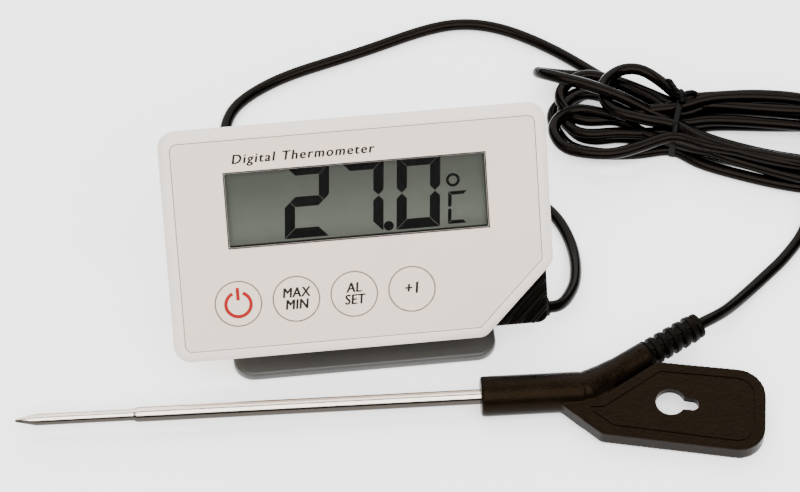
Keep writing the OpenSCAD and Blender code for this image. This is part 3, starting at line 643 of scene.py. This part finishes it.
def window(grow):
    """The window's outline, larger by grow in width and height."""
    return rect(WINDOW_W + grow, WINDOW_H + grow, WINDOW_AT)


def key_holes(r, steps=64):
    return [circle(r, at, steps) for at in KEY_AT]


opening = rounded(window(0), [0.4] * 4, 4)
face = sheet_of(case_outline(1.0, 1.0), [opening, *key_holes(2.3, 48)], -1.7, -2.3)
wells = sheet_of(case_outline(1.0, 1.0), [opening, *key_holes(6.82)], -0.5, -1.7)
verts, faces = join(front, face, wells, *[post_at(spot, FRONT_BOSS) for spot in SCREWS])
make("case_front", verts, faces, "case", "case", CASE, "case_white", 28, ["front_shell"])

# back half: skin, wall, seat of the battery door, screw posts and hinge lugs
BACK_Z = CASE_D - BACK_R
DOOR_AT = (0, 13)
BACK_POST = [(2.3, -19.45), (2.3, -17), (1.2, -17), (1.2, -9.1), (1.3, -9), (2.9, -9), (3, -9.1), (3, -18)]
# The hinge's lugs, as distances from the middle along its axis
LUGS = [(19.2, 21.8), (30.2, 32.8)]
KNUCKLE_R = 1.7
rings = [case_ring(taper(FRONT_D) + 0.15, 0.15, FRONT_D + 0.02),
         case_ring(taper(FRONT_D + 0.15), 0, FRONT_D + 0.17),
         case_ring(taper(13), 0, 13), case_ring(taper(BACK_Z), 0, BACK_Z)]
for i in range(1, 11):
    a = rad(9 * i)
    inset = BACK_R * (1 - math.cos(a))
    rings.append(case_ring(taper(BACK_Z) + inset, inset, BACK_Z + BACK_R * math.sin(a)))
inner = [case_ring(WALL + 2.5 + taper(17.5), WALL + 2.5, 17.5), case_ring(WALL + taper(15), WALL, 15),
         case_ring(WALL + taper(FRONT_D), WALL, FRONT_D + 0.02)]
edge_rings = [case_ring(taper(BACK_Z) + 5, 5, z) for z in (CASE_D, 17.5)]
skin = loft(rings + edge_rings + inner, closed=True)
screw_holes = [circle(2.3, spot, 32) for spot in SCREWS]
doorway = rounded(rect(67.5, 18.5, DOOR_AT), [2] * 4, 6)
bay = rounded(rect(52, 12.4, DOOR_AT), [1] * 4, 6)
back = sheet_of(case_outline(taper(BACK_Z) + 2.6, 2.6), [doorway, *screw_holes], -18, -CASE_D)
back_in = sheet_of(case_outline(taper(BACK_Z) + 3.5, 3.5), [bay, *screw_holes], -17.5, -18)
seat = sheet_of(rect(70, 22, DOOR_AT), [bay], -15.9, -17.55)
parts = [skin, back, back_in, seat, *[post_at(spot, BACK_POST, caps=False) for spot in SCREWS]]


def hinge_tube(x0, x1, r, bore):
    """A hinge knuckle along X, with its axis at Y and Z zero."""
    edge = 0.25
    shape = [(x0, bore), (x0, r - edge), (x0 + edge * 0.3, r - edge * 0.3), (x0 + edge, r), (x1 - edge, r),
             (x1 - edge * 0.3, r - edge * 0.3), (x1, r - edge), (x1, bore)]
    return lathe(shape, 32, closed=True)


hinge_in_case = CASE.inverted() @ Matrix.Translation(HINGE)
for side in (-1, 1):
    for lug in LUGS:
        a, b = sorted(side * x for x in lug)
        parts.append(moved(hinge_tube(a, b, KNUCKLE_R, 0.8), hinge_in_case))
verts, faces = join(*parts)
make("case_back", verts, faces, "case", "case", CASE, "case_white", 28, ["rear_shell"])

# film, window, its printed border, and painted shade in the window's well and in the gap around the film
film_gap = rounded(window(1), [0.3] * 4, 4)
film = sheet_of(case_outline(RIM + 0.18, RIM + 0.18, FILM_R), [film_gap, *key_holes(6.8)], -0.2, -0.48)
make("keypad_film_skin", *film, "film", "case", CASE, "film_beige", 30, ["keypad_film"])
border = sheet_of(window(0.75), [rounded(window(0.1), [0.2] * 4, 4)], -0.46, -0.49)
# painted shade: a black lining on the walls of the window's well, where the recess lies in shade
well_shade = sheet_of(window(-0.04), [window(-0.24)], -0.5, -2.3)
# painted shadow: a dark ring deep in the gap between the film's edge and the case's rim
gap_shade_lines = [case_outline(RIM + d, RIM + d, FILM_R) for d in (0.05, 0.14)]
gap_shade = sheet_of(gap_shade_lines[0], gap_shade_lines[1:], -0.24, -0.3)
make("window_border_and_shade", *join(border, well_shade, gap_shade), "segment", "case", CASE, "black_plastic")

# LCD segments
GAP, SLANT = 0.09, math.tan(rad(4))
LCD_Z = -2.49
DIGIT_H, DIGIT_T = 21, 2.9
DEGREE_AT, POINT_AT = (27.5, 13.0), (8.6, 1.25)


def digit(on, w, h, t, g=GAP):
    """Outlines of a digit's segments that are on: width, height, stroke and gap."""
    m = h / 2
    shapes = {
        "a": [(g, h), (w - g, h), (w - t - g, h - t), (t + g, h - t)],
        "b": [(w, h - g), (w, m + t / 2 + g), (w - t / 2, m + g), (w - t, m + t / 2 + g), (w - t, h - t - g)],
        "c": [(w, g), (w - t, t + g), (w - t, m - t / 2 - g), (w - t / 2, m - g), (w, m - t / 2 - g)],
        "d": [(g, 0), (t + g, t), (w - t - g, t), (w - g, 0)],
        "e": [(0, g), (0, m - t / 2 - g), (t / 2, m - g), (t, m - t / 2 - g), (t, t + g)],
        "f": [(0, h - g), (t, h - t - g), (t, m + t / 2 + g), (t / 2, m + g), (0, m + t / 2 + g)],
        "g": [(t / 2 + g, m), (t + g, m + t / 2), (w - t - g, m + t / 2), (w - t / 2 - g, m),
              (w - t - g, m - t / 2), (t + g, m - t / 2)],
    }
    return [shapes[k] for k in on]


def print_flat(shapes, z, slant=0.0, at=(0, 0)):
    """Flat printed shapes; slant leans them to the right as they go up."""
    return join(*[prism([(x + y * slant + at[0], y + at[1]) for x, y in s], z, z + PRINT_T) for s in shapes])


def ring_print(r, inner_r, at, z, steps):
    return sheet_of(circle(r, at, steps), [circle(inner_r, at, steps)], z + PRINT_T, z)


segments = [
    print_flat(digit("abged", 12.5, DIGIT_H, DIGIT_T), LCD_Z, SLANT, (-20.9, -0.1)),
    print_flat(digit("abc", 12.5, DIGIT_H, DIGIT_T), LCD_Z, SLANT, (-5.5, -0.1)),
    print_flat(digit("abcdef", 12.3, DIGIT_H, DIGIT_T), LCD_Z, SLANT, (10.7, -0.1)),
    print_flat(digit("afed", 5.4, 9.4, 1.0, 0.1), LCD_Z, SLANT, (25.3, 0.3)),
    print_flat([circle(1.4, POINT_AT, 32)], LCD_Z),
    ring_print(1.95, 1.2, DEGREE_AT, LCD_Z, 48),
]
make("lcd_segments", *join(*segments), "segment", "case", CASE, "lcd")

# Printing on the film and the keys. Each word is printed three times, slightly apart, which makes its
# strokes bolder.
HEADER_Z, FACE_Z = -0.19, -0.195
header = join(*[lettering("Digital Thermometer", 3.8, at, HEADER_Z, "LEFT", shear=0.2, spacing=1.21)
                for at in ((-34.54, 23.43), (-34.26, 23.43), (-34.4, 23.33))])
make("header_print", *header, "ink", "case", CASE, "film_beige")
RING_R, RING_W = 6.62, 0.24
for name, at in zip(KEYS, KEY_AT):
    ring = ring_print(RING_R, RING_R - RING_W, at, FACE_Z, 96)
    make(f"{name}_ring", *ring, "ink", name, CASE, "film_beige")

# the power sign: a ring that is open for some degrees on each side of its bar
POWER_OPEN, POWER_STEPS = 24, 60
px, py = KEY_AT[0]
arc = [rad(90 + POWER_OPEN + (360 - 2 * POWER_OPEN) * k / POWER_STEPS) for k in range(POWER_STEPS + 1)]
power = []
for a, b in zip(arc, arc[1:]):
    corners = ((4.05, a), (4.05, b), (3.05, b), (3.05, a))
    power.append([(px + r * math.cos(t), py + r * math.sin(t) - 0.2) for r, t in corners])
power.append([(px + dx, py + dy) for dx, dy in ((-0.5, 1.0), (0.5, 1.0), (0.5, 4.7), (-0.5, 4.7))])
make("power_print", *print_flat(power, FACE_Z), "red_ink", "power_key", CASE, "film_beige")

labels = {"max_min_key": ["MAX", "MIN"], "set_key": ["AL", "SET"], "step_key": ["+1"]}
# the flag of the figure one
FLAG = [(1.12, 1.12), (1.98, 1.66), (2.05, 2.08), (1.8, 2.08), (1.16, 1.5)]
for name, words in labels.items():
    x, y = KEY_AT[KEYS.index(name)]
    size, first_row = (4.1, 0.55) if len(words) > 1 else (4.7, -1.25)
    rows = []
    for dx, dy in ((-0.15, 0.04), (0.15, 0.04), (0, -0.07)):
        for row, word in enumerate(words):
            at = (x + dx, y + (first_row - 3.5 * row) + dy)
            rows.append(lettering(word, size, at, FACE_Z, shear=0.14, wide=0.86, spacing=1.06))
    if name == "step_key":
        rows.append(print_flat([[(x + dx, y + dy) for dx, dy in FLAG]], FACE_Z))
    make(f"{name}_print", *join(*rows), "ink", name, CASE, "film_beige")

# ---------- corner gland ----------
GX, GY = W / 2 - 1.5, -H / 2 + 1.2
REACH = W / 2 + H / 2 - CUT
GLAND_EDGE = [(0.5, -17), (0.15, -16.85), (0, -16.5), (0, -7.6), (0.06, -7.2), (0.24, -6.84), (0.5, -6.62),
              (0.85, -6.5)]
RIB_R, RIB_STEPS, RIB_PITCH, RIB_Z = 0.95, 24, 2.9, -6.75
gland_tri = [(REACH + GY, GY), (GX, GY), (GX, GX - REACH)]
mid = (W / 2 - CUT / 2, -H / 2 + CUT / 2)


def inset_tri(d):
    k = d * (1 + math.sqrt(2))
    return [(gland_tri[0][0] + k, GY + d), (GX - d, GY + d), (GX - d, gland_tri[2][1] - k)]


def gland_ring(d, z):
    return [(x, y, z) for x, y in rounded(inset_tri(d), [0.8, max(0.6, 3.2 - d), 0.8], 8)]


def rib_r(k):
    """The rib's radius at one of its steps, rounded off towards both ends."""
    return RIB_R * math.sqrt(max(0.02, 1 - max(0, 1 - min(k, RIB_STEPS - k) / 1.6) ** 2))


def gland_rib(i):
    """A rib parallel to the cut corner, ended by the block's right and lower sides."""
    off = RIB_PITCH * i - 0.2
    cx, cy = mid[0] + off / math.sqrt(2), mid[1] - off / math.sqrt(2)
    ahead, behind = GX - 0.45 - cx, cy - GY - 0.45
    a, b = Vector((cx + ahead, cy + ahead, RIB_Z)), Vector((cx - behind, cy - behind, RIB_Z))
    return tube([a.lerp(b, k / RIB_STEPS) for k in range(RIB_STEPS + 1)], rib_r, 16)


gland_body = loft([gland_ring(d, z) for d, z in GLAND_EDGE])
ribs = [gland_rib(i) for i in range(1, 4)]
# the tongue goes through the case's wall and ends in a wider head behind it
tongue_place = placed((*mid, -12.8), "Z", 135)
tongue = [bar(rounded(rect(8, 4), [0.5] * 4, 4), ((-0.1, 1), (2.6, 1))),
          bar(rounded(rect(9.6, 5), [0.6] * 4, 4), ((2.6, 0.96), (2.75, 1), (3.65, 1), (3.8, 0.96)))]
collar = lathe([(-1, 2.7), (0.25, 2.7), (0.5, 2.55), (0.55, 2.2), (0.3, 1.9), (-0.6, 1.85)], 32)
verts, faces = join(gland_body, *ribs, *[moved(s, tongue_place) for s in tongue],
                    moved(collar, Matrix.Translation((GX, -28.6, -10))))
make("corner_block", verts, faces, "rubber", "case", CASE, "black_plastic", 35, ["corner_gland"])

# ---------- stand ----------
SW, SL, ST, PAD = 75.5, 50, 2.9, 0.5
SY = HINGE[1] - 15.5 + SL / 2
EDGE = 0.9
MAGNET_R, MAGNET_X, MAGNET_Y = 6.1, 20, 25.53


def stand_ring(d, z):
    outline = rounded(rect(SW - 2 * d, SL - 2 * d, (HINGE[0], SY)), [max(1, 6 - d)] * 4, 12)
    return [(x, y, z) for x, y in outline]


rings = [stand_ring(0.5, PAD), stand_ring(0.15, PAD + 0.12), stand_ring(0, PAD + 0.45),
         stand_ring(0, PAD + ST - EDGE)]
for k in range(1, 9):
    a = rad(90 * k / 8)
    rings.append(stand_ring(EDGE * (1 - math.cos(a)), PAD + ST - EDGE + EDGE * math.sin(a)))
# the magnets sit in round pockets in its underside
pockets = [prism(circle(MAGNET_R, (HINGE[0] + side * MAGNET_X, MAGNET_Y)), -0.5, 2) for side in (-1, 1)]
carved = blob("plate", [loft(rings)], pockets, 0, 0)
parts = [([tuple(v.co) for v in carved.vertices], [tuple(p.vertices) for p in carved.polygons])]
# knuckles on short webs, and stops that the case leans on
WEDGE = [(0, 0), (0, 2.6), (-0.4, 2.85), (-4.8, 4.55), (-5, 4.4), (-5, 0)]
for side in (-1, 1):
    a, b = sorted((side * 22, side * 30))
    parts.append(moved(hinge_tube(a, b, KNUCKLE_R, 0.85), Matrix.Translation(HINGE)))
    web_at = (HINGE[0] + (a + b) / 2, HINGE[1])
    parts.append(prism(rect(7.8, 3, web_at), PAD + ST - 0.1, HINGE[2] - 0.9))
    stop_at = Matrix.Translation((HINGE[0] + side * 12, HINGE[1] - 2.8, PAD + ST - 0.05))
    parts.append(moved(bar(WEDGE, ((-2, 1), (2, 1))), stop_at))
verts, faces = join(*parts)
make("stand_foot", verts, faces, "stand", "stand", WORLD, "stand_gray", 28, ["stand_plate"])

# ---------- probe ----------
HANDLE_L, NECK, TUBE_L = 29.5, 30, 131.5
THROUGH = 9
steel = lathe([(0, 0.05), (0.05, 0.3), (0.4, 0.5), (5.6, 1.62), (6.4, 1.7), (33, 1.7), (33.5, 1.8),
               (34.2, 2.14), (34.8, 2.2), (TUBE_L + 19, 2.2), (TUBE_L + 19, 1.9), (34.6, 1.9), (33, 1.4),
               (6, 1.4), (2, 0.1)], 48)
sheath_place = PROBE @ Matrix.Translation((-TUBE_L, 0, 0))
make("probe_sheath", *steel, "steel", "probe", sheath_place, "probe_steel", 25, ["probe_tube"])

# the handle: barrel, bent neck and paddle in one moulding
PADDLE = [(21, 3), (18, -1), (33, -15.4), (78, -24.3), (81.4, 1.8), (50.8, 7), (34, -3.2), (28, -1)]
PADDLE_RADII = [0.5, 2, 3, 7.5, 8.5, 2, 3, 2]
PADDLE_T = 5.4
POCKET = [(37, -6.8), (39, -12.6), (75, -20.2), (78, -1), (51.5, 3.6), (41, -2.5)]
GROOVE_OUT = [(29, -6.4), (36.2, -13.2), (75.4, -21.3), (77.8, -0.5), (51.3, 3.9), (34.4, -6.6)]
GROOVE_IN = [(30, -6.9), (36.5, -12.75), (74.95, -20.75), (77.3, -0.9), (51.4, 3.4), (34.7, -7.1)]
neck_place = placed((HANDLE_L, 0, 0), "Z", NECK)
barrel = lathe([(0, 5.15), (0.1, 5.45), (0.35, 5.67), (0.8, 5.75), (27.5, 5.75), (29, 5.55), (30.4, 4.9),
                (31.6, 3.6)], 64)
elbow = lathe([(-4, 0.3), (-3.4, 2.6), (-2, 4.8), (0, 5.55), (3, 5.25), (7, 4.65), (11.5, 4.3)], 48)
neck = lathe([(0, 4.2), (21.4, 4.2), (22, 4.0)], 48)
fillet = prism([(12, 1), (24, 1), (34, 1.5), (38, 3), (38, -2), (20, -3)], -1.9, 1.9)
panel = prism(rounded(PADDLE, PADDLE_RADII, 8), -PADDLE_T / 2, PADDLE_T / 2)
bore = lathe([(-1, 2.2), (20, 2.2), (20, 1.7), (HANDLE_L + 1, 1.7)], 32)
pocket = prism(rounded(POCKET, [2, 2, 5, 5.5, 2, 2], 6), -THROUGH, 0.5)
keyhole = [prism(circle(4.2, (53.2, -6.4)), -THROUGH, THROUGH),
           prism(circle(1.9, (59.2, -7.6), 32), -THROUGH, THROUGH),
           prism([(55.5, -8.9), (59.0, -9.4), (59.4, -5.8), (55.5, -4.7)], -THROUGH, THROUGH)]
groove = sheet_of(rounded(GROOVE_OUT, [0.8, 4, 5, 5.5, 1.2, 2], 8),
                  [rounded(GROOVE_IN, [0.6, 3.6, 4.6, 5.1, 1, 1.8], 8)], 4, PADDLE_T / 2 - 0.3)
handle_mesh = blob("handle", [barrel, moved(elbow, neck_place), moved(neck, neck_place), panel, fillet],
                   [pocket, *keyhole, bore, groove], 0.3, 6)
handle_mesh.transform(Matrix.Scale(MM, 4) @ PROBE)
dress(handle_mesh, "handle", "black", "probe", 50, ["probe_handle"])

# ribbed strain relief and the small pips on the neck
RELIEF_PITCH = 3.15
rings, x = [(0, 4.2), (0.4, 4.1)], 0.6
for i in range(5):
    rings += [(x, 3.0), (x + 0.9, 3.0), (x + 1.0, 3.85), (x + 1.25, 4.08), (x + 2.55, 4.08 - 0.05 * i),
              (x + 2.8, 3.85), (x + 2.9, 3.0)]
    x += RELIEF_PITCH
rings += [(x, 3.0), (x + 0.3, 3.6), (x + 0.9, 3.75), (x + 1.6, 3.6), (18.3, 2.5), (18.5, 2.15), (18.4, 1.85),
          (1, 1.85)]
relief_web = bar([(-1.1, -3.7), (1.1, -3.7), (1.1, 3.7), (-1.1, 3.7)], ((0.3, 1), (16.6, 1)))
verts, faces = join(lathe(rings, 40), relief_web)
relief_place = PROBE @ neck_place @ Matrix.Translation((22, 0, 0))
make("relief", verts, faces, "rubber", "probe", relief_place, "rubber_black", 35, ["strain_relief"])


def pip(x, roll):
    """A small round pip on the neck, turned away from its top by roll degrees."""
    dome = lathe([(0, 0.55), (0.25, 0.5), (0.42, 0.3), (0.5, 0.02)], 16)
    return moved(dome, neck_place @ placed((x, 0, 0), "X", roll) @ placed((0, 0, 4.1), "Y", -90))


make("neck_pips", *join(pip(12.0, 20), pip(19.4, -8)), "black", "probe", PROBE, "black_plastic")

# ---------- twist tie ----------
RIBBON = [(-9.6, 0.02), (9.6, 0.02), (9.9, 8.6), (7.4, 11.6), (-5.6, 11.6), (-9.8, 7.4)]
INSIDE = [(-9.15, 0.45), (9.15, 0.45), (9.45, 8.4), (7.2, 11.15), (-5.4, 11.15), (-9.35, 7.3)]
ribbon = rounded(RIBBON, [1.6, 1.6, 2, 2, 2, 2], 6)
inside = rounded(INSIDE, [1.2, 1.2, 1.6, 1.6, 1.6, 1.6], 6)
# outlines around the hank, each with its place along it and its scale
TIE_EDGE = ((ribbon, -0.8, 0.99), (ribbon, -0.9, 0.985), (inside, -0.9, 1), (inside, 0.9, 1),
            (ribbon, 0.9, 0.985), (ribbon, 0.8, 0.99), (ribbon, 0.5, 1), (ribbon, -0.5, 1))
twist_at = Vector((TIE_X, 5.2, 12.0))


def twisted(t, phase):
    """A point on one of the two ends that are twisted around each other."""
    along = Vector((-0.3 - 0.75 * t, 0.75 * t, 0.28 * t))
    swing, lift = math.cos(2.1 * t + phase), math.sin(2.1 * t + phase)
    return twist_at + along + 0.55 * Vector((0.5 * swing, 0.5 * swing, lift))


def tie_tube(points, r, sides):
    return tube([twist_at + Vector(p) for p in points], r, sides)


band = [loft([[(TIE_X + x, y * k, 0.02 + (z - 0.02) * k) for y, z in line] for line, x, k in TIE_EDGE],
             closed=True)]
band += [tube([twisted(0.5 * k, phase) for k in range(13)], 0.62, 8) for phase in (0, math.pi)]
band.append(tie_tube([(0.6, -1.6, -0.5), (0.3, -0.3, 0.3), (0, 0.8, 0.3), (-0.8, 1.6, 0.2)], 1.25, 12))
band.append(tie_tube([(0, 0.4, 0), (1.4, 1.6, 0.3), (2.9, 2.4, 0.1), (4.2, 2.7, -0.6)], 0.75, 8))
make("tie_band", *join(*band), "tie", "case", HANK, "black_plastic", 60, ["cable_tie"])

# ---------- finishes of the CAD parts that stay ----------
finish = {
    "display_window": "clear", "lcd_glass": "lcd", "lcd_reflector": "white", "lcd_bezel": "frame",
    "zebra_strips": "seal", "circuit_board": "board", "tact_switches": "metal", "controller_chip": "rubber",
    "quartz_crystal": "metal", "capacitors": "brown", "chip_resistors": "ink", "buzzer": "brass",
    "wire_terminal": "white", "lead_wires": "wire", "case_gasket": "seal", "case_screws": "screw",
    "battery": "cell", "battery_cradle": "rubber", "plus_contact": "brass", "minus_spring": "metal",
    "hinge_pins": "screw", "power_key": "film", "max_min_key": "film", "set_key": "film", "step_key": "film",
    "battery_door": "case", "door_gasket": "seal", "door_screws": "screw", "stand_magnets": "metal",
    "stand_pads": "rubber", "sensor_bead": "brown", "sensor_wires": "wire", "tip_filling": "white",
    "crimp_sleeve": "brass", "handle_cable": "cable",
}
for name, paint in finish.items():
    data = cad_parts[name].data
    data.materials.clear()
    data.materials.append(M[paint])

# ---------- floor and light ----------
FLOOR_CELLS, FLOOR_SIZE, FLOOR_Z = 24, 3.0, -0.00005
stops = [(i / FLOOR_CELLS - 0.5) * FLOOR_SIZE for i in range(FLOOR_CELLS + 1)]
cells = [j * len(stops) + i for j in range(FLOOR_CELLS) for i in range(FLOOR_CELLS)]
floor_data = bpy.data.meshes.new("floor")
floor_data.from_pydata([(x, y, FLOOR_Z) for y in stops for x in stops], [],
                       [(c, c + 1, c + 1 + len(stops), c + len(stops)) for c in cells])
paper = material("floor_paper", (0.95, 0.95, 0.95), 0.9, grain=0.05, grain_size=1.5, vary=0.004, patch=200)
paper_shader = paper.node_tree.nodes["Principled BSDF"]
paper_shader.inputs["Emission Color"].default_value = (1, 1, 1, 1)
paper_shader.inputs["Emission Strength"].default_value = 0.9
floor_data.materials.append(paper)
ground = bpy.data.objects.new("ground", floor_data)
bpy.context.scene.collection.objects.link(ground)

world = bpy.data.worlds.new("studio")
bpy.context.scene.world = world
world.use_nodes = True
backdrop = world.node_tree.nodes["Background"]
backdrop.inputs["Color"].default_value = (1, 0.995, 0.985, 1)
backdrop.inputs["Strength"].default_value = 0.22


def softbox(name, azimuth, elevation, distance, w, h, watts):
    """A soft panel aimed at the object; azimuth 0 is the side the display faces."""
    light = bpy.data.lights.new(name, "AREA")
    light.shape = "RECTANGLE"
    light.size, light.size_y = w, h
    light.energy = watts
    ob = bpy.data.objects.new(name, light)
    a, e = rad(azimuth), rad(elevation)
    at = Vector((math.sin(a) * math.cos(e), -math.cos(a) * math.cos(e), math.sin(e))) * distance
    ob.location = at
    ob.rotation_euler = (-at).to_track_quat("-Z", "Y").to_euler()
    bpy.context.scene.collection.objects.link(ob)


softbox("front_panel", 0, 57, 1.6, 2.4, 1.55, 70)
softbox("back_panel", 180, 50, 1.4, 2.2, 1.75, 42)
